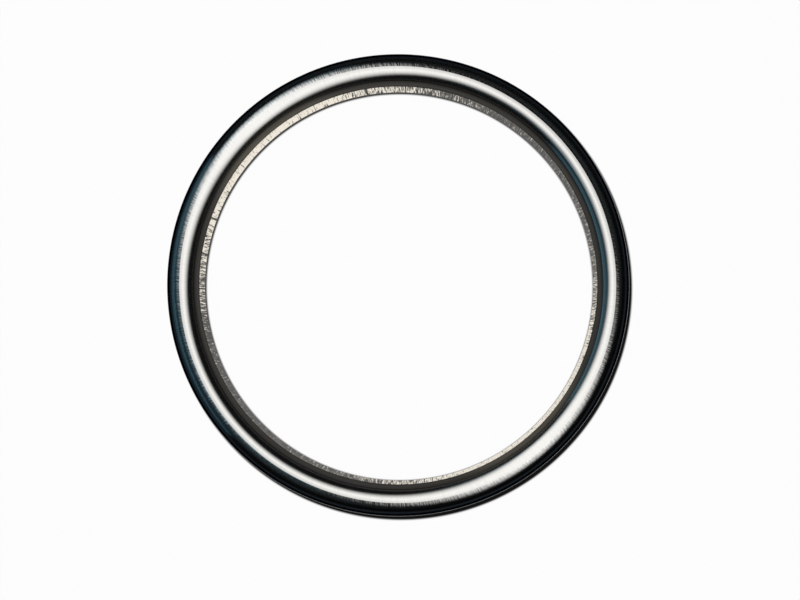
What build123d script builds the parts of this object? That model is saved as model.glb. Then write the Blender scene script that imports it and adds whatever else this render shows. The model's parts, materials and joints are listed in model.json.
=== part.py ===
from build123d import *
import os

# Ring joint gasket of the oval style: one solid ring of soft steel that two pipe flanges
# squeeze between their ring grooves. All sizes are in millimetres and +Z is up. The origin
# is on the axis at the middle of the height, because the ring is the same both ways up.

# Driving dimensions, those of the standard oval ring for a 4 inch class 300 or 600 flange
pitch_diameter = 149.225  # circle through the middle of the section, 5 7/8 inches
section_width = 11.1125  # across the section from bore wall to rim wall, 7/16 inch
section_height = 17.4625  # from the lower crown to the upper crown, 11/16 inch

# The two ends of an oval section are full rounds, so their radius follows the width,
# and the walls between them are straight and parallel to the axis
crown_radius = section_width / 2
wall_length = section_height - section_width
bore_radius = (pitch_diameter - section_width) / 2
rim_radius = (pitch_diameter + section_width) / 2

os.makedirs("parts", exist_ok=True)

# The section is drawn to the right of the axis, up the rim wall, over the upper crown,
# down the bore wall and back under the lower crown, and then turned round the axis
with BuildPart() as gasket_ring:
    with BuildSketch(Plane.XZ):
        with BuildLine():
            rim_wall = Line((rim_radius, -wall_length / 2), (rim_radius, wall_length / 2))
            upper_crown = JernArc(rim_wall @ 1, rim_wall % 1, crown_radius, 180)
            bore_wall = Line(upper_crown @ 1, (bore_radius, -wall_length / 2))
            JernArc(bore_wall @ 1, bore_wall % 1, crown_radius, 180)
        make_face()
    revolve(axis=Axis.Z)

gasket_ring.part.label = "gasket_ring"
export_step(gasket_ring.part, "parts/gasket_ring.step")
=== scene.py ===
"""Turns a ring joint gasket of the oval style to the finish of the real one, on a plain stage."""

import json
import math

import bpy
import numpy as np
from bpy.props import (
    FloatProperty,
    FloatVectorProperty,
    IntProperty,
    PointerProperty,
)
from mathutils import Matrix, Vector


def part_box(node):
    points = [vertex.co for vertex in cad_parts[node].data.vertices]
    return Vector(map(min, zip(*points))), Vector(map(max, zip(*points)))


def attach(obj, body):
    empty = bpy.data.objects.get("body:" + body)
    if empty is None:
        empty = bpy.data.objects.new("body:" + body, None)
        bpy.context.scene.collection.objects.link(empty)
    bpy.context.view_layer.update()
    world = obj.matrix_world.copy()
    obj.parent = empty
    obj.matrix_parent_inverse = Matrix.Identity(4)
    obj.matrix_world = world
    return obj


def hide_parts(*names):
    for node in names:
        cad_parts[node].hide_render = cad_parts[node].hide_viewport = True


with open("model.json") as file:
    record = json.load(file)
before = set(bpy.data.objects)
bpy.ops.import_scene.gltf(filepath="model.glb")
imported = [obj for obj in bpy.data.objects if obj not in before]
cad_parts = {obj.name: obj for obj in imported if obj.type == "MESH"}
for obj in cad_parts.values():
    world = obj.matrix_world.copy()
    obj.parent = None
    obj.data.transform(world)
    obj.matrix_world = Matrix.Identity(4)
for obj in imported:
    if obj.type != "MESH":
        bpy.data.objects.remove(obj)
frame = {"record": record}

bl_info = {
    "name": "Ring joint gasket",
    "version": (1, 0, 0),
    "blender": (4, 5, 0),
    "location": "View3D > Sidebar > Gasket",
    "description": "A turned steel ring joint gasket of oval section, in a plain studio",
    "category": "Add Mesh",
}

NODE = "gasket_ring"
MM = 0.001

# The ring's real sizes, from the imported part: the box of the node and the round mounts
LOWEST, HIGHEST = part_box(NODE)
MOUNTS = {mount["name"]: mount for mount in frame["record"]["mounts"]}
PITCH_RADIUS = MOUNTS["upper_seat"]["dims"]["pcd_mm"] * MM / 2
BORE_RADIUS = MOUNTS["bore"]["dims"]["r_mm"] * MM

# Where things stand in the photograph, in its pixels
PICTURE_WIDTH, PICTURE_HEIGHT = 800, 600
RING_CENTRE_X, RING_CENTRE_Y = 397.7, 284.5
EYE_FOOT_X, EYE_FOOT_Y = 428.7, 328.5
PITCH_RADIUS_PIXELS = 219.6
EYE_HEIGHT_PIXELS = 750.0

# The two gouges in the bore wall: where round the ring, and how wide
GOUGES_AT = (math.radians(160), math.radians(99.3))
GOUGE_WIDTH = 0.8 * MM

# The window card, and how its light falls off upwards: the heights on the card between which
# each fall lies, and the share of the light that it leaves
WINDOW_WIDTH, WINDOW_HEIGHT = 2400 * MM, 2000 * MM
WINDOW_PLACE = (-1600 * MM, -40 * MM, 1000 * MM)
WINDOW_FALLS = ((-750 * MM, -580 * MM, 0.21), (-230 * MM, 100 * MM, 0.16))

# The patch of daylight on the softbox's cloth: its middle on the cloth, how far from there it
# starts to fade and is gone, and how much wider the cloth is for it
PATCH_MIDDLE = (-185 * MM, -28 * MM, 0)
PATCH_CORE, PATCH_EDGE = 10 * MM, 80 * MM
PATCH_MARGIN = 110 * MM

# The floor's side, and the low round wall behind it
FLOOR_SIZE = 6000 * MM
BACKDROP_RADIUS, BACKDROP_HEIGHT, BACKDROP_STEPS = 2900 * MM, 500 * MM, 120


def linear(code):
    """The linear colour of an sRGB hex code."""
    channels = [int(code[i : i + 2], 16) / 255 for i in (0, 2, 4)]
    return [c / 12.92 if c <= 0.04045 else ((c + 0.055) / 1.055) ** 2.4 for c in channels]


def add_node(tree, kind, inputs=None, **settings):
    """Adds a node, sets its own settings, and gives each named input a value or a link."""
    node = tree.nodes.new(kind)
    for name, value in settings.items():
        setattr(node, name, value)
    for name, value in (inputs or {}).items():
        if isinstance(value, bpy.types.NodeSocket):
            tree.links.new(value, node.inputs[name])
        else:
            node.inputs[name].default_value = value
    return node


class GasketSizes(bpy.types.PropertyGroup):
    """The ring's section, and what the lathe left on it."""

    pitch_radius: FloatProperty(
        name="Pitch radius",
        description="Radius of the circle through the middle of the section",
        default=PITCH_RADIUS,
        unit="LENGTH",
        precision=5,
    )
    bore_radius: FloatProperty(
        name="Bore radius",
        description="Radius of the straight inner wall",
        default=BORE_RADIUS,
        unit="LENGTH",
        precision=5,
    )
    crown_height: FloatProperty(
        name="Crown height",
        description="Height of the crown over the middle of the ring",
        default=HIGHEST.z,
        unit="LENGTH",
        precision=5,
    )
    crown_line_inset: FloatProperty(
        name="Crown line inset",
        description="How far inside the pitch circle the two form-turned passes meet",
        default=0.37 * MM,
        unit="LENGTH",
        precision=5,
    )
    outer_pass_lean: FloatProperty(
        name="Outer pass lean",
        description="How far the outer pass leans outwards where it starts at the crown line",
        default=math.radians(2.5),
        subtype="ANGLE",
    )
    chatter_lean: FloatProperty(
        name="Chatter lean",
        description="How far the streaks beside the crown line lean from one another",
        default=math.radians(2.1),
        subtype="ANGLE",
    )
    bore_relief: FloatProperty(
        name="Bore relief",
        description="How far the rough-bored wall is cut back behind the form-turned shoulder",
        default=0.03 * MM,
        unit="LENGTH",
        precision=5,
    )
    striation_width: FloatProperty(
        name="Striation width",
        description="Width of one axial chatter mark on the bore wall",
        default=0.5 * MM,
        unit="LENGTH",
        precision=5,
    )
    striation_depth: FloatProperty(
        name="Striation depth",
        description="Depth of the axial chatter marks on the bore wall",
        default=0.08 * MM,
        unit="LENGTH",
        precision=5,
    )
    gouge_depth: FloatProperty(
        name="Gouge depth",
        description="Depth of the gouges that the boring tool tore down the bore wall",
        default=0.35 * MM,
        unit="LENGTH",
        precision=5,
    )
    segments: IntProperty(
        name="Segments",
        description="Steps round the ring",
        default=1800,
        min=360,
    )
    shoulder_steps: IntProperty(
        name="Shoulder steps",
        description="Steps over each shoulder, from wall to crown line",
        default=11,
        min=4,
    )


class GasketFinish(bpy.types.PropertyGroup):
    """Colours of the steel, by the tool that left it, and the light and shade painted into them.
    """

    turned_colour: FloatVectorProperty(
        name="Form-turned steel",
        description="Colour of the steel where the form tool left it bright, along the crowns",
        default=linear("AEADAA"),
        subtype="COLOR",
    )
    # Brighter partly from the second pass and partly as a painted highlight outside the crown line
    second_pass_and_highlight_colour: FloatVectorProperty(
        name="Second pass steel",
        description="Colour of the steel outside the crown line, left brighter by the second pass",
        default=linear("D5D4D1"),
        subtype="COLOR",
    )
    # Partly duller steel and partly a painted dark reflection of the room, down the inner
    # shoulders
    flank_colour: FloatVectorProperty(
        name="Flank steel",
        description="Colour of the dull, dark steel down the inner shoulders",
        default=linear("4A4845"),
        subtype="COLOR",
    )
    # Painted reflection of the lit bore wall across the ring, on the inner shoulders along the
    # softbox's long axis
    flank_lit_reflection_colour: FloatVectorProperty(
        name="Burnished flank steel",
        description="Colour of the inner shoulders beside the two sectors that were cut fully",
        default=linear("625E56"),
        subtype="COLOR",
    )
    # Partly duller steel and partly a painted dark reflection of the room, down the outer
    # shoulders
    outer_flank_colour: FloatVectorProperty(
        name="Outer flank steel",
        description="Colour of the dull, dark steel down the outer shoulders",
        default=linear("25282B"),
        subtype="COLOR",
    )
    rim_colour: FloatVectorProperty(
        name="Rim steel",
        description="Colour of the rim wall, turned straight",
        default=linear("A9A7A3"),
        subtype="COLOR",
    )
    # Painted light: the bore wall's lit copy, on the softbox's long axis
    lit_wall_colour: FloatVectorProperty(
        name="Bored steel",
        description="Colour of the bore wall where the boring tool took a full cut",
        default=linear("FFF6E6"),
        subtype="COLOR",
    )
    # Painted shade: the bore wall's shaded copy, away from the softbox's long axis
    shaded_wall_colour: FloatVectorProperty(
        name="Skimmed steel",
        description="Colour of the bore wall where the boring tool only skimmed it",
        default=linear("76736F"),
        subtype="COLOR",
    )
    # Painted shade in the gouges down the bore wall
    gouge_shade_colour: FloatVectorProperty(
        name="Gouge steel",
        description="Colour of the torn steel in the gouges down the bore wall",
        default=linear("3A3633"),
        subtype="COLOR",
    )
    # The softbox's long axis, on which the bore wall and the inner shoulders are painted lighter
    light_axis_direction: FloatProperty(
        name="Full cut direction",
        description="Direction of one of the two opposite sectors that the boring tool cut fully",
        default=math.radians(132),
        subtype="ANGLE",
    )


class GasketStudio(bpy.types.PropertyGroup):
    """The plain studio: one oblong softbox overhead, a cool window card, a pale floor and a low
    grey backdrop."""

    softbox_width: FloatProperty(
        name="Softbox width",
        description="Short side of the overhead softbox, between its half-bright edges",
        default=168 * MM,
        unit="LENGTH",
    )
    softbox_length: FloatProperty(
        name="Softbox length",
        description="Long side of the overhead softbox, between its half-bright edges",
        default=536 * MM,
        unit="LENGTH",
    )
    softbox_side_fade: FloatProperty(
        name="Softbox side fade",
        description="How far the softbox fades on either side of its half-bright long edges",
        default=116 * MM,
        unit="LENGTH",
    )
    softbox_end_fade: FloatProperty(
        name="Softbox end fade",
        description="How far the softbox fades on either side of its half-bright short edges",
        default=211 * MM,
        unit="LENGTH",
    )
    softbox_place: FloatVectorProperty(
        name="Softbox place",
        description="The softbox's middle, from the ring's axis and over the crown",
        default=(-17 * MM, 18 * MM, 252 * MM),
        subtype="TRANSLATION",
    )
    softbox_turn: FloatProperty(
        name="Softbox turn",
        description="Direction of the softbox's long side, counterclockwise from +X",
        default=math.radians(130.5),
        subtype="ANGLE",
    )
    softbox_strength: FloatProperty(
        name="Softbox strength",
        description="Radiance of the softbox's middle, where 1 shows as white",
        default=2.4,
    )
    window_colour: FloatVectorProperty(
        name="Window",
        description="Colour of the cool daylight from the left",
        default=linear("9CDCFA"),
        subtype="COLOR",
    )
    window_strength: FloatProperty(
        name="Window strength",
        description="Radiance of the daylight from the left, where 1 shows as white",
        default=1.0,
    )
    cloth_glow: FloatProperty(
        name="Cloth glow",
        description="Radiance of the daylight on the softbox's left side, where 1 shows as white",
        default=0.11,
    )
    patch_colour: FloatVectorProperty(
        name="Daylight patch",
        description="Colour of the patch of daylight on the softbox's cloth",
        default=linear("D1ECFF"),
        subtype="COLOR",
    )
    patch_glow: FloatProperty(
        name="Daylight patch glow",
        description="Radiance of the middle of that patch, where 1 shows as white",
        default=0.42,
    )
    backdrop_colour: FloatVectorProperty(
        name="Backdrop",
        description="Colour of the low grey wall round the floor",
        default=linear("8E8E8E"),
        subtype="COLOR",
    )
    floor_colour: FloatVectorProperty(
        name="Floor",
        description="Colour of the pale floor",
        default=linear("DCDCDC"),
        subtype="COLOR",
    )
    shadow_inside: FloatProperty(
        name="Shadow inside",
        description="Radius of the contact shadow's inner edge",
        default=70.0 * MM,
        unit="LENGTH",
        precision=5,
    )
    shadow_outside: FloatProperty(
        name="Shadow outside",
        description="Radius of the contact shadow's outer edge",
        default=84.03 * MM,
        unit="LENGTH",
        precision=5,
    )
    shadow_shift: FloatVectorProperty(
        name="Shadow shift",
        description="How far the contact shadow's outer edge is moved, away from the light",
        default=(0.37 * MM, -0.43 * MM, 0),
        subtype="TRANSLATION",
        precision=5,
    )
    shadow_softness: FloatProperty(
        name="Shadow softness",
        description="How far the contact shadow fades on either side of its edges",
        default=0.45 * MM,
        unit="LENGTH",
        precision=5,
    )
    floor_glow: FloatProperty(
        name="Floor glow",
        description="Share of plain colour in floor and backdrop as seen, the rest being paint",
        default=0.97,
        min=0,
        max=1,
    )


def crown_arc(centre_radius, centre_height, arc_radius, start, end, steps):
    """Points of an arc of the section, by the angle of its outward normal from the axis."""
    points = []
    for step in range(steps + 1):
        lean = start + (end - start) * step / steps
        points.append((centre_radius + arc_radius * math.sin(lean),
                       centre_height + arc_radius * math.cos(lean)))
    return points


def upper_half_section(sizes):
    """The section's upper half, from the rim wall over the crown to the bore wall, as rows of
    radius, height, finish of the band that follows, and whether the row is a crisp edge."""
    crown_radius = sizes.pitch_radius - sizes.bore_radius
    wall_top = sizes.crown_height - crown_radius
    rim_radius = sizes.pitch_radius + crown_radius
    line_lean = -math.asin(sizes.crown_line_inset / crown_radius)
    line_radius = sizes.pitch_radius - sizes.crown_line_inset
    line_height = wall_top + crown_radius * math.cos(line_lean)

    # The outer pass starts at the crown line with its own lean and runs out on the rim wall
    pass_lean = max(sizes.outer_pass_lean, line_lean)
    pass_radius = (rim_radius - line_radius) / (1 - math.sin(pass_lean))
    outer = crown_arc(rim_radius - pass_radius, line_height - pass_radius * math.cos(pass_lean),
                      pass_radius, math.pi / 2, pass_lean, sizes.shoulder_steps)
    inner = crown_arc(sizes.pitch_radius, wall_top, crown_radius,
                      line_lean, -math.pi / 2, sizes.shoulder_steps)
    rows = [(radius, height, "outer", False) for radius, height in outer[:-1]]
    rows += [(radius, height, "inner", index == 0) for index, (radius, height) in enumerate(inner)]
    rows[-1] = (*inner[-1], "bore", True)
    return rows


def whole_section(sizes):
    """The upper half, the bore wall's own rows, and the lower half as its mirror image."""
    upper = upper_half_section(sizes)
    wall_top = upper[-1][1]
    wall = []
    wall_steps = 6
    for step in range(1, wall_steps):
        height = wall_top * (1 - 2 * step / wall_steps)
        wall.append((sizes.bore_radius, height, "bore", False))
    finish = [row[2] for row in upper]
    lower = []
    for index in range(len(upper) - 1, -1, -1):
        radius, height, _, crisp = upper[index]
        band = finish[index - 1] if index else "rim"
        lower.append((radius, -height, band, crisp))
    return upper + wall + lower


def chatter_marks(width, around, count, seed):
    """A random depth from 0 to 1 at each of count places round a circle, in marks of a width."""
    marks = max(8, round(around / width))
    depth = np.random.default_rng(seed).random(marks)
    places = np.arange(count) * marks / count
    return np.interp(places, np.arange(marks), depth, period=marks)


def dent(angles, middle, width):
    """A steep-sided dent, 0 at its edges and 1 in its middle, by the angle round the ring."""
    away = np.abs((angles - middle + math.pi) % (2 * math.pi) - math.pi)
    return np.clip(1 - away / (width / 2), 0, 1) ** 0.5


class GASKET_OT_turn_ring(bpy.types.Operator):
    """Turns the ring: form-turned shoulders that meet in a crown line, and a rough, gouged bore"""

    bl_idname = "gasket.turn_ring"
    bl_label = "Turn ring"

    def execute(self, context):
        sizes = context.scene.gasket_sizes
        rows = whole_section(sizes)
        count = sizes.segments
        angles = np.arange(count) * 2 * math.pi / count
        around = 2 * math.pi * sizes.bore_radius
        upper = chatter_marks(sizes.striation_width, around, count, seed=11)
        lower = chatter_marks(sizes.striation_width, around, count, seed=12)
        wall_top = sizes.crown_height - (sizes.pitch_radius - sizes.bore_radius)

        # Each row goes once round, and only the rows between the bore wall's edges are marked
        places = np.empty((len(rows), count, 3))
        for index, (radius, height, band, crisp) in enumerate(rows):
            reach = np.full(count, radius)
            if band == "bore" and not crisp:
                share = (height / wall_top + 1) / 2
                marks = upper * share + lower * (1 - share)
                reach += sizes.bore_relief + sizes.striation_depth * marks
                for gouge in GOUGES_AT:
                    torn_off = dent(angles, gouge, GOUGE_WIDTH / sizes.bore_radius)
                    reach += sizes.gouge_depth * torn_off
            places[index] = np.stack([reach * np.cos(angles), reach * np.sin(angles),
                                      np.full(count, height)], 1)

        here = np.arange(len(rows) * count).reshape(len(rows), count)
        above = np.roll(here, -1, 0)
        faces = np.stack([here, np.roll(here, -1, 1), np.roll(above, -1, 1), above], 2)
        mesh = bpy.data.meshes.new("gasket_ring_turned")
        mesh.from_pydata(places.reshape(-1, 3).tolist(), [], faces.reshape(-1, 4).tolist())

        bands = ["inner", "outer", "bore", "rim"]
        finish = np.repeat([bands.index(row[2]) for row in rows], count)
        for make in (form_turned_steel, chattered_steel, rough_bored_steel, side_turned_steel):
            mesh.materials.append(make(context.scene))
        mesh.polygons.foreach_set("material_index", finish)
        mesh.shade_smooth()
        ends = np.empty(len(mesh.edges) * 2, np.int32)
        mesh.edges.foreach_get("vertices", ends)
        end_rows = ends.reshape(-1, 2) // count
        crisp_rows = [index for index, row in enumerate(rows) if row[3]]
        sharp = (end_rows[:, 0] == end_rows[:, 1]) & np.isin(end_rows[:, 0], crisp_rows)
        mesh.edges.foreach_set("use_edge_sharp", sharp)
        mesh.update()

        ring = bpy.data.objects.new("gasket_ring_turned", mesh)
        context.scene.collection.objects.link(ring)
        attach(ring, "root")
        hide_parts(NODE)
        return {"FINISHED"}


def new_material(name):
    """A node material with no nodes in it yet, and its node tree."""
    material = bpy.data.materials.new(name)
    material.use_nodes = True
    material.node_tree.nodes.clear()
    return material, material.node_tree


def round_the_ring(tree, mark_width, across):
    """Coordinates that run round the ring in units of one mark's width, whatever the radius,
    so that marks lie across the ring. Heights are drawn out by the factor across."""
    place = add_node(tree, "ShaderNodeTexCoord").outputs["Object"]
    flat = add_node(tree, "ShaderNodeVectorMath", {0: place, 1: (1, 1, 0)}, operation="MULTIPLY")
    outward = add_node(tree, "ShaderNodeVectorMath", {0: flat.outputs[0]}, operation="NORMALIZE")
    turn = add_node(tree, "ShaderNodeVectorMath", {0: outward.outputs[0]}, operation="SCALE")
    turn.inputs["Scale"].default_value = PITCH_RADIUS / mark_width
    rise = add_node(tree, "ShaderNodeVectorMath",
                    {0: place, 1: (0, 0, 1 / (mark_width * across))}, operation="MULTIPLY")
    return add_node(tree, "ShaderNodeVectorMath", {0: turn.outputs[0], 1: rise.outputs[0]},
                    operation="ADD").outputs[0]


def axis_square(tree, direction):
    """From 0 to 1, how near a place lies to the two opposite sectors in this direction, as the
    square of the cosine of its angle from the middle of a sector."""
    place = add_node(tree, "ShaderNodeTexCoord").outputs["Object"]
    flat = add_node(tree, "ShaderNodeVectorMath", {0: place, 1: (1, 1, 0)}, operation="MULTIPLY")
    outward = add_node(tree, "ShaderNodeVectorMath", {0: flat.outputs[0]}, operation="NORMALIZE")
    along = add_node(tree, "ShaderNodeVectorMath", {
        0: outward.outputs[0], 1: (math.cos(direction), math.sin(direction), 0)},
        operation="DOT_PRODUCT").outputs["Value"]
    return add_node(tree, "ShaderNodeMath", {0: along, 1: along}, operation="MULTIPLY").outputs[0]


def axis_share(tree, direction, start, end):
    """The same as a share, which rises from 0 to 1 between two cosines of that angle."""
    return add_node(tree, "ShaderNodeMapRange", {
        "Value": axis_square(tree, direction), "From Min": start ** 2, "From Max": end ** 2},
        interpolation_type="SMOOTHSTEP").outputs[0]


def mixed(tree, share, first, second):
    """A colour that runs from the first to the second by share. Each of them may be a link."""
    first, second = (colour if isinstance(colour, bpy.types.NodeSocket) else (*colour[:3], 1)
                     for colour in (first, second))
    return add_node(tree, "ShaderNodeMix", {"Factor": share, 6: first, 7: second},
                    data_type="RGBA").outputs[2]


def from_middle_plane(tree):
    """The distance from the ring's middle plane, up or down."""
    place = add_node(tree, "ShaderNodeTexCoord").outputs["Object"]
    height = add_node(tree, "ShaderNodeSeparateXYZ", {0: place}).outputs["Z"]
    return add_node(tree, "ShaderNodeMath", {0: height}, operation="ABSOLUTE").outputs[0]


def changing_with_height(tree, near, far, start, end):
    """The near colour up to one distance from the middle plane, which runs into the far colour
    at another."""
    share = add_node(tree, "ShaderNodeMapRange", {
        "Value": from_middle_plane(tree), "From Min": start, "From Max": end},
        interpolation_type="SMOOTHSTEP")
    return mixed(tree, share.outputs[0], near, far)


def turning_lines(tree):
    """Noise drawn out round the ring into lines 0.35 mm apart. Real ones lie 0.1 mm apart, which
    would not show."""
    length, spacing = 30 * MM, 0.35 * MM
    place = add_node(tree, "ShaderNodeTexCoord").outputs["Object"]
    drawn_out = add_node(tree, "ShaderNodeVectorMath", {
        0: place, 1: (1 / length, 1 / length, 1 / spacing)}, operation="MULTIPLY")
    return add_node(tree, "ShaderNodeTexNoise", {
        "Vector": drawn_out.outputs[0], "Scale": 1.0, "Detail": 2.0}).outputs["Fac"]


def streaked(tree, colour, streaks, start, end, dark):
    """The colour, dimmed to the share dark where the streaks are at start or beyond it, and
    whole where they are at end."""
    shade = add_node(tree, "ShaderNodeMapRange", {
        "Value": streaks, "From Min": start, "From Max": end, "To Min": dark, "To Max": 1.0})
    first = colour if isinstance(colour, bpy.types.NodeSocket) else colour[:3]
    return add_node(tree, "ShaderNodeVectorMath", {0: first, 1: shade.outputs[0]},
                    operation="MULTIPLY").outputs[0]


def torn(tree, colour, gouge_shade_colour, direction):
    """The colour, which gives way to painted shade in the gouge that lies in this direction."""
    place = add_node(tree, "ShaderNodeTexCoord").outputs["Object"]
    across = add_node(tree, "ShaderNodeVectorMath", {
        0: place, 1: (-math.sin(direction), math.cos(direction), 0)}, operation="DOT_PRODUCT")
    beside = add_node(tree, "ShaderNodeMath", {0: across.outputs["Value"]}, operation="ABSOLUTE")
    inside = add_node(tree, "ShaderNodeMapRange", {
        "Value": beside.outputs[0], "From Min": GOUGE_WIDTH / 2, "From Max": GOUGE_WIDTH / 4})
    along = add_node(tree, "ShaderNodeVectorMath", {
        0: place, 1: (math.cos(direction), math.sin(direction), 0)}, operation="DOT_PRODUCT")
    facing = add_node(tree, "ShaderNodeMath", {0: along.outputs["Value"], 1: 0.0},
                      operation="GREATER_THAN")
    share = add_node(tree, "ShaderNodeMath", {0: inside.outputs[0], 1: facing.outputs[0]},
                     operation="MULTIPLY")
    return mixed(tree, share.outputs[0], colour, gouge_shade_colour)


def turned_shader(tree, edge_tint, inputs):
    """Steel with its tool marks round the ring, which draw reflections out across them."""
    marks = add_node(tree, "ShaderNodeTangent", direction_type="RADIAL", axis="Z")
    return add_node(tree, "ShaderNodeBsdfPrincipled", {
        "Metallic": 1.0,
        "Specular Tint": (edge_tint, edge_tint, edge_tint, 1),
        "Anisotropic": 0.6,
        "Anisotropic Rotation": 0.25,
        "Tangent": marks.outputs[0],
        **inputs,
    })


def form_turned_steel(scene):
    """Soft steel, form-turned with a polished tool: the inner shoulder mirrors what is round it,
    brightly on the crown and dully down the flank, with faint streaks across the ring. The
    flank's dark colour is partly duller steel and partly a painted dark reflection of the room."""
    material, tree = new_material("form_turned_steel")
    finish = scene.gasket_finish
    around = round_the_ring(tree, mark_width=0.5 * MM, across=60)
    streaks = add_node(tree, "ShaderNodeTexNoise", {
        "Vector": around, "Scale": 1.0, "Detail": 2.0}).outputs["Fac"]
    bump = add_node(tree, "ShaderNodeBump", {
        "Height": streaks, "Strength": 1.0, "Distance": 0.006 * MM})

    # Painted reflection: the flank is painted lighter on the softbox's long axis, where the lit
    # bore wall across the ring shows in it, and darkest near the crown
    beside = axis_share(tree, finish.light_axis_direction, start=0.9, end=1.0)
    flank = mixed(tree, beside, finish.flank_colour, finish.flank_lit_reflection_colour)
    flank = streaked(tree, flank, turning_lines(tree), start=0.35, end=0.6, dark=0.75)
    # Painted dark reflection of the room: the flank is painted darker towards the crown
    flank = streaked(tree, flank, from_middle_plane(tree),
                     start=5.8 * MM, end=4.6 * MM, dark=0.6)
    steel = changing_with_height(tree, flank, finish.turned_colour,
                                 start=6.5 * MM, end=7.5 * MM)
    dullness = add_node(tree, "ShaderNodeMapRange", {
        "Value": from_middle_plane(tree), "From Min": 6.6 * MM, "From Max": 7.6 * MM,
        "To Min": 0.18, "To Max": 0.12})
    shader = turned_shader(tree, edge_tint=0.4, inputs={
        "Base Color": streaked(tree, steel, streaks, start=0.35, end=0.55, dark=0.96),
        "Roughness": dullness.outputs[0],
        "Normal": bump.outputs[0],
    })
    add_node(tree, "ShaderNodeOutputMaterial", {"Surface": shader.outputs[0]})
    return material


def chattered_steel(scene):
    """The same steel where the second pass chattered: beside the crown line every streak across
    the ring leans a little differently, which frays the edge of the light in the crown."""
    material, tree = new_material("chattered_steel")
    sizes, finish = scene.gasket_sizes, scene.gasket_finish
    place = add_node(tree, "ShaderNodeTexCoord").outputs["Object"]
    flat = add_node(tree, "ShaderNodeVectorMath", {0: place, 1: (1, 1, 0)}, operation="MULTIPLY")
    radius = add_node(tree, "ShaderNodeVectorMath", {0: flat.outputs[0]}, operation="LENGTH")
    line = sizes.pitch_radius - sizes.crown_line_inset

    # The chatter starts at the crown line and has died down at its reach, and it is weaker
    # on the softbox's long axis
    reach = 1.8 * MM
    rise = add_node(tree, "ShaderNodeMapRange", {
        "Value": radius.outputs["Value"], "From Min": line, "From Max": line + reach,
        "To Min": 0.0, "To Max": reach * math.tan(2 * sizes.chatter_lean)})
    fade = add_node(tree, "ShaderNodeMapRange", {
        "Value": radius.outputs["Value"], "From Min": line + reach, "From Max": line + reach / 3})
    beyond = add_node(tree, "ShaderNodeMath", {0: rise.outputs[0], 1: fade.outputs[0]},
                      operation="MULTIPLY")
    around = round_the_ring(tree, mark_width=0.42 * MM, across=60)
    noise = add_node(tree, "ShaderNodeTexNoise", {
        "Vector": around, "Scale": 1.0, "Detail": 2.0}).outputs["Fac"]
    streaks = add_node(tree, "ShaderNodeMapRange", {
        "Value": noise, "From Min": 0.35, "From Max": 0.65, "To Min": -0.5, "To Max": 0.5})
    steady = add_node(tree, "ShaderNodeMapRange", {
        "Value": axis_share(tree, finish.light_axis_direction, start=0.75, end=0.98),
        "To Min": 1.15, "To Max": 0.6})
    strength = add_node(tree, "ShaderNodeMath", {0: beyond.outputs[0], 1: steady.outputs[0]},
                        operation="MULTIPLY")
    height = add_node(tree, "ShaderNodeMath", {0: streaks.outputs[0], 1: strength.outputs[0]},
                      operation="MULTIPLY")
    bump = add_node(tree, "ShaderNodeBump", {
        "Height": height.outputs[0], "Strength": 1.0, "Distance": 1.0})

    # The rim wall's colour at the foot of the shoulder, dull steel up it that is painted dark as
    # the room's reflection, and the bright crown, partly a painted highlight
    flank = changing_with_height(tree, finish.rim_colour, finish.outer_flank_colour,
                                 start=3.2 * MM, end=4.8 * MM)
    steel = changing_with_height(tree, flank, finish.second_pass_and_highlight_colour,
                                 start=7.7 * MM, end=8.5 * MM)
    shader = turned_shader(tree, edge_tint=0.3, inputs={
        "Base Color": streaked(tree, steel, noise, start=0.35, end=0.5, dark=0.88),
        "Roughness": 0.12,
        "Normal": bump.outputs[0],
    })
    add_node(tree, "ShaderNodeOutputMaterial", {"Surface": shader.outputs[0]})
    return material


def side_turned_steel(scene):
    """The rim wall, turned straight: duller than the crowns, with the tool's fine lines."""
    material, tree = new_material("side_turned_steel")
    lines = turning_lines(tree)
    bump = add_node(tree, "ShaderNodeBump", {
        "Height": lines, "Strength": 1.0, "Distance": 0.02 * MM})
    steel = scene.gasket_finish.rim_colour
    shader = turned_shader(tree, edge_tint=0.6, inputs={
        "Base Color": streaked(tree, steel, lines, start=0.3, end=0.6, dark=0.7),
        "Roughness": 0.3,
        "Normal": bump.outputs[0],
    })
    add_node(tree, "ShaderNodeOutputMaterial", {"Surface": shader.outputs[0]})
    return material


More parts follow.
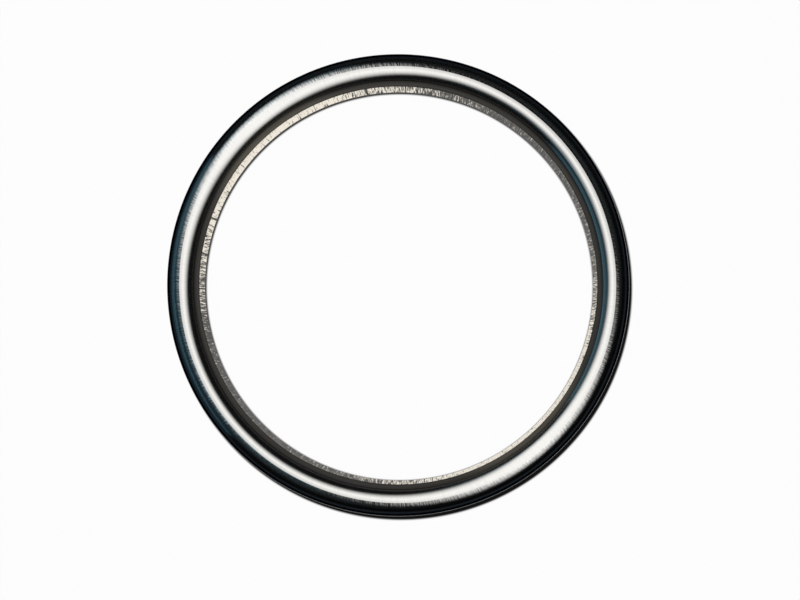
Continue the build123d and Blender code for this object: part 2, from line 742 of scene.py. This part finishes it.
def rough_bored_steel(scene):
    """Bored steel with random axial chatter marks, which the light picks out one by one. Its
    colour paints in light and shade: the two opposite sectors on the softbox's long axis are
    painted lit, the others shaded, and between them only the marks' high spots are painted lit."""
    material, tree = new_material("rough_bored_steel")
    finish = scene.gasket_finish
    around = round_the_ring(tree, mark_width=0.36 * MM, across=16)
    marks = add_node(tree, "ShaderNodeTexNoise", {
        "Vector": around, "Scale": 1.0, "Detail": 3.0, "Roughness": 0.6}).outputs["Fac"]

    # How brightly the wall is painted lit: oval weighs how near it lies to the softbox's long
    # axis, and the marks add the rest
    oval = 0.29
    painted_lightness = add_node(tree, "ShaderNodeMath", {
        0: axis_square(tree, finish.light_axis_direction), 1: oval, 2: marks},
        operation="MULTIPLY_ADD")
    # cut is the share of the wall painted as lit, which is also made smoother
    cut = add_node(tree, "ShaderNodeMapRange", {
        "Value": painted_lightness.outputs[0], "From Min": 0.635, "From Max": 0.705}).outputs[0]
    # skimmed is the shaded copy of the wall, with its marks
    skimmed = streaked(tree, finish.shaded_wall_colour, marks, start=0.4, end=0.6, dark=0.35)
    steel = mixed(tree, cut, skimmed, finish.lit_wall_colour)
    # Painted shade in the two gouges
    for gouge in GOUGES_AT:
        steel = torn(tree, steel, finish.gouge_shade_colour, gouge)
    dullness = add_node(tree, "ShaderNodeMapRange", {"Value": cut, "To Min": 0.5, "To Max": 0.25})
    bump = add_node(tree, "ShaderNodeBump", {
        "Height": marks, "Strength": 1.0, "Distance": 0.3 * MM})
    shader = add_node(tree, "ShaderNodeBsdfPrincipled", {
        "Base Color": steel,
        "Metallic": 1.0,
        "Roughness": dullness.outputs[0],
        "Specular Tint": (0.85, 0.85, 0.85, 1),
        "Normal": bump.outputs[0],
    })
    add_node(tree, "ShaderNodeOutputMaterial", {"Surface": shader.outputs[0]})
    return material


def flat_card(name, width, length, material):
    """A flat rectangle about its own origin, facing +Z, that is part of the stage."""
    x, y = width / 2, length / 2
    mesh = bpy.data.meshes.new(name)
    mesh.from_pydata([(-x, -y, 0), (x, -y, 0), (x, y, 0), (-x, y, 0)], [], [(0, 1, 2, 3)])
    mesh.materials.append(material)
    card = bpy.data.objects.new(name, mesh)
    bpy.context.scene.collection.objects.link(card)
    return card


def window_light(studio):
    """Cool daylight, brightest close to the ground and faint in the window's upper part."""
    material, tree = new_material("window_light")
    place = add_node(tree, "ShaderNodeTexCoord").outputs["Object"]
    height = add_node(tree, "ShaderNodeSeparateXYZ", {0: place}).outputs["Y"]
    strength = studio.window_strength
    for start, end, share in WINDOW_FALLS:
        fall = add_node(tree, "ShaderNodeMapRange", {
            "Value": height, "From Min": start, "From Max": end, "To Min": 1.0, "To Max": share},
            interpolation_type="SMOOTHSTEP")
        strength = add_node(tree, "ShaderNodeMath", {0: strength, 1: fall.outputs[0]},
                            operation="MULTIPLY").outputs[0]
    light = add_node(tree, "ShaderNodeEmission", {
        "Color": (*studio.window_colour, 1), "Strength": strength})
    add_node(tree, "ShaderNodeOutputMaterial", {"Surface": light.outputs[0]})
    return material


def softbox_light(studio):
    """The softbox's cloth: brightest in the middle, fading out smoothly past its outline, with
    the window's daylight on its left side and in one brighter patch."""
    material, tree = new_material("softbox_light")
    place = add_node(tree, "ShaderNodeTexCoord").outputs["Object"]
    split = add_node(tree, "ShaderNodeSeparateXYZ", {0: place})
    strength = studio.softbox_strength
    for side, length, fade in (("X", studio.softbox_width, studio.softbox_side_fade),
                               ("Y", studio.softbox_length, studio.softbox_end_fade)):
        away = add_node(tree, "ShaderNodeMath", {0: split.outputs[side]}, operation="ABSOLUTE")
        glow = add_node(tree, "ShaderNodeMapRange", {
            "Value": away.outputs[0], "From Min": length / 2 + fade,
            "From Max": length / 2 - fade}, interpolation_type="SMOOTHSTEP")
        strength = add_node(tree, "ShaderNodeMath", {0: strength, 1: glow.outputs[0]},
                            operation="MULTIPLY").outputs[0]
    lamp = add_node(tree, "ShaderNodeEmission", {"Color": (1, 1, 1, 1), "Strength": strength})
    turn = studio.softbox_turn
    leftwards = add_node(tree, "ShaderNodeVectorMath", {
        0: place, 1: (-math.sin(turn), math.cos(turn), 0)}, operation="DOT_PRODUCT")
    left = add_node(tree, "ShaderNodeMapRange", {
        "Value": leftwards.outputs["Value"], "From Min": 30 * MM, "From Max": 180 * MM,
        "To Min": 0.0, "To Max": studio.cloth_glow}, interpolation_type="SMOOTHSTEP")
    daylight = add_node(tree, "ShaderNodeEmission", {
        "Color": (*studio.window_colour, 1), "Strength": left.outputs[0]})
    light = add_node(tree, "ShaderNodeAddShader", {0: lamp.outputs[0], 1: daylight.outputs[0]})
    off_patch = add_node(tree, "ShaderNodeVectorMath", {0: place, 1: PATCH_MIDDLE},
                         operation="DISTANCE")
    patch = add_node(tree, "ShaderNodeMapRange", {
        "Value": off_patch.outputs["Value"], "From Min": PATCH_EDGE, "From Max": PATCH_CORE,
        "To Min": 0.0, "To Max": studio.patch_glow}, interpolation_type="SMOOTHSTEP")
    sunlit = add_node(tree, "ShaderNodeEmission", {
        "Color": (*studio.patch_colour, 1), "Strength": patch.outputs[0]})
    light = add_node(tree, "ShaderNodeAddShader", {0: light.outputs[0], 1: sunlit.outputs[0]})
    add_node(tree, "ShaderNodeOutputMaterial", {"Surface": light.outputs[0]})
    return material


class GASKET_OT_set_stage(bpy.types.Operator):
    """Lays the floor, stands the backdrop, hangs the lights and sets up the camera"""

    bl_idname = "gasket.set_stage"
    bl_label = "Set stage"

    def execute(self, context):
        scene = context.scene
        studio = scene.gasket_studio
        crown = scene.gasket_sizes.crown_height
        self.lay_floor(studio)
        self.hang_lights(studio, crown)
        self.place_camera(scene, crown)
        scene.world = self.dark_room()
        scene.view_settings.view_transform = "Standard"
        return {"FINISHED"}

    def dark_room(self):
        """A dark room, whose ceiling is faintly lit by what the lamp throws back."""
        world = bpy.data.worlds.new("dark_room")
        world.use_nodes = True
        tree = world.node_tree
        towards = add_node(tree, "ShaderNodeTexCoord").outputs["Generated"]
        rise = add_node(tree, "ShaderNodeSeparateXYZ", {0: towards}).outputs["Z"]
        glow = add_node(tree, "ShaderNodeMapRange", {
            "Value": rise, "From Min": 0.5, "From Max": 0.9, "To Min": 0.007, "To Max": 0.045},
            interpolation_type="SMOOTHSTEP").outputs[0]
        background = tree.nodes["Background"]
        background.inputs["Color"].default_value = (0.85, 1.0, 1.1, 1)
        tree.links.new(glow, background.inputs["Strength"])
        return world

    def hang_lights(self, studio, crown):
        """The overhead softbox, face down, and the window card upright on the left."""
        width = studio.softbox_width + 2 * studio.softbox_side_fade + PATCH_MARGIN
        length = studio.softbox_length + 2 * studio.softbox_end_fade
        softbox = flat_card("softbox", width, length, softbox_light(studio))
        x, y, z = studio.softbox_place
        softbox.location = (x, y, crown + z)
        softbox.rotation_euler = (math.pi, 0, studio.softbox_turn - math.pi / 2)
        window = flat_card("window", WINDOW_WIDTH, WINDOW_HEIGHT, window_light(studio))
        window.location = WINDOW_PLACE
        window.rotation_euler = (math.pi / 2, 0, math.pi / 2)
        for light in (softbox, window):
            light.visible_camera = False

    def lay_floor(self, studio):
        """The floor under the ring, which is seen as white, and the grey backdrop round it."""
        paint = self.shadeless("pale_floor", studio, studio.floor_colour, seen_as=(1, 1, 1))
        floor = flat_card("floor", FLOOR_SIZE, FLOOR_SIZE, paint)
        floor.location = (0, 0, LOWEST.z)
        grey = studio.backdrop_colour
        self.stand_backdrop(self.shadeless("grey_backdrop", studio, grey, seen_as=grey))

    def shadeless(self, name, studio, painted, seen_as):
        """Lit paint that the eye, and whatever mirrors it, sees mostly as one plain colour."""
        material, tree = new_material(name)
        seen = add_node(tree, "ShaderNodeLightPath")
        mirrored = add_node(tree, "ShaderNodeMath", {
            0: seen.outputs["Is Camera Ray"], 1: seen.outputs["Is Glossy Ray"]},
            operation="ADD", use_clamp=True)
        clear = add_node(tree, "ShaderNodeMath", {
            0: mirrored.outputs[0], 1: seen.outputs["Is Transmission Ray"]},
            operation="ADD", use_clamp=True)
        share = add_node(tree, "ShaderNodeMath", {0: clear.outputs[0], 1: studio.floor_glow},
                         operation="MULTIPLY")
        paint = add_node(tree, "ShaderNodeBsdfDiffuse", {"Color": (*painted, 1)})
        plain = add_node(tree, "ShaderNodeEmission",
                         {"Color": (*seen_as, 1), "Strength": self.contact_shadow(tree, studio)})
        mix = add_node(tree, "ShaderNodeMixShader",
                       {0: share.outputs[0], 1: paint.outputs[0], 2: plain.outputs[0]})
        add_node(tree, "ShaderNodeOutputMaterial", {"Surface": mix.outputs[0]})
        return material

    def stand_backdrop(self, material):
        """A low round wall behind the floor, which lower views see past the horizon."""
        corners = []
        for step in range(BACKDROP_STEPS):
            angle = 2 * math.pi * step / BACKDROP_STEPS
            x, y = BACKDROP_RADIUS * math.cos(angle), BACKDROP_RADIUS * math.sin(angle)
            corners += [(x, y, LOWEST.z), (x, y, LOWEST.z + BACKDROP_HEIGHT)]
        sides = []
        for foot in range(0, len(corners), 2):
            next_foot = (foot + 2) % len(corners)
            sides.append((foot, foot + 1, next_foot + 1, next_foot))
        mesh = bpy.data.meshes.new("backdrop")
        mesh.from_pydata(corners, [], sides)
        mesh.materials.append(material)
        wall = bpy.data.objects.new("backdrop", mesh)
        bpy.context.scene.collection.objects.link(wall)

    def contact_shadow(self, tree, studio):
        """The share of the plain colour that is seen: none under the ring and close round it."""
        place = add_node(tree, "ShaderNodeTexCoord").outputs["Object"]
        shifted = add_node(tree, "ShaderNodeVectorMath", {0: place, 1: studio.shadow_shift},
                           operation="SUBTRACT").outputs[0]
        soft = studio.shadow_softness
        inside, outside = studio.shadow_inside, studio.shadow_outside
        shares = []
        for where, start, end in ((place, inside + soft, inside - soft),
                                  (shifted, outside - soft, outside + soft)):
            radius = add_node(tree, "ShaderNodeVectorMath", {0: where}, operation="LENGTH")
            share = add_node(tree, "ShaderNodeMapRange", {
                "Value": radius.outputs["Value"], "From Min": start, "From Max": end},
                interpolation_type="SMOOTHSTEP")
            shares.append(share.outputs[0])
        return add_node(tree, "ShaderNodeMath", {0: shares[0], 1: shares[1]},
                        operation="ADD").outputs[0]

    def place_camera(self, scene, crown):
        """The camera straight over the eye's foot, looking down, with its view shifted back to
        the ring as the photograph is framed."""
        pixel = scene.gasket_sizes.pitch_radius / PITCH_RADIUS_PIXELS
        camera = bpy.data.cameras.new("camera")
        camera.sensor_width = 36
        camera.lens = camera.sensor_width * EYE_HEIGHT_PIXELS / PICTURE_WIDTH
        camera.shift_x = (PICTURE_WIDTH / 2 - EYE_FOOT_X) / PICTURE_WIDTH
        camera.shift_y = (EYE_FOOT_Y - PICTURE_HEIGHT / 2) / PICTURE_WIDTH
        camera.clip_start = 1 * MM
        eye = bpy.data.objects.new("camera", camera)
        eye.location = ((EYE_FOOT_X - RING_CENTRE_X) * pixel, (RING_CENTRE_Y - EYE_FOOT_Y) * pixel,
                        crown + EYE_HEIGHT_PIXELS * pixel)
        scene.collection.objects.link(eye)
        scene.camera = eye


class GASKET_PT_sidebar(bpy.types.Panel):
    """The gasket's sizes, its finish and its studio"""

    bl_idname = "GASKET_PT_sidebar"
    bl_label = "Ring joint gasket"
    bl_space_type = "VIEW_3D"
    bl_region_type = "UI"
    bl_category = "Gasket"

    def draw(self, context):
        for group in ("gasket_sizes", "gasket_finish", "gasket_studio"):
            settings = getattr(context.scene, group)
            for name in settings.__annotations__:
                self.layout.prop(settings, name)
        self.layout.operator("gasket.turn_ring")
        self.layout.operator("gasket.set_stage")


CLASSES = (
    GasketSizes,
    GasketFinish,
    GasketStudio,
    GASKET_OT_turn_ring,
    GASKET_OT_set_stage,
    GASKET_PT_sidebar,
)


def register():
    for cls in CLASSES:
        bpy.utils.register_class(cls)
    bpy.types.Scene.gasket_sizes = PointerProperty(type=GasketSizes)
    bpy.types.Scene.gasket_finish = PointerProperty(type=GasketFinish)
    bpy.types.Scene.gasket_studio = PointerProperty(type=GasketStudio)


def unregister():
    del bpy.types.Scene.gasket_studio
    del bpy.types.Scene.gasket_finish
    del bpy.types.Scene.gasket_sizes
    for cls in reversed(CLASSES):
        bpy.utils.unregister_class(cls)


def main():
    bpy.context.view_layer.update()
    register()
    bpy.ops.gasket.turn_ring()
    bpy.ops.gasket.set_stage()


if __name__ == "__main__":
    main()
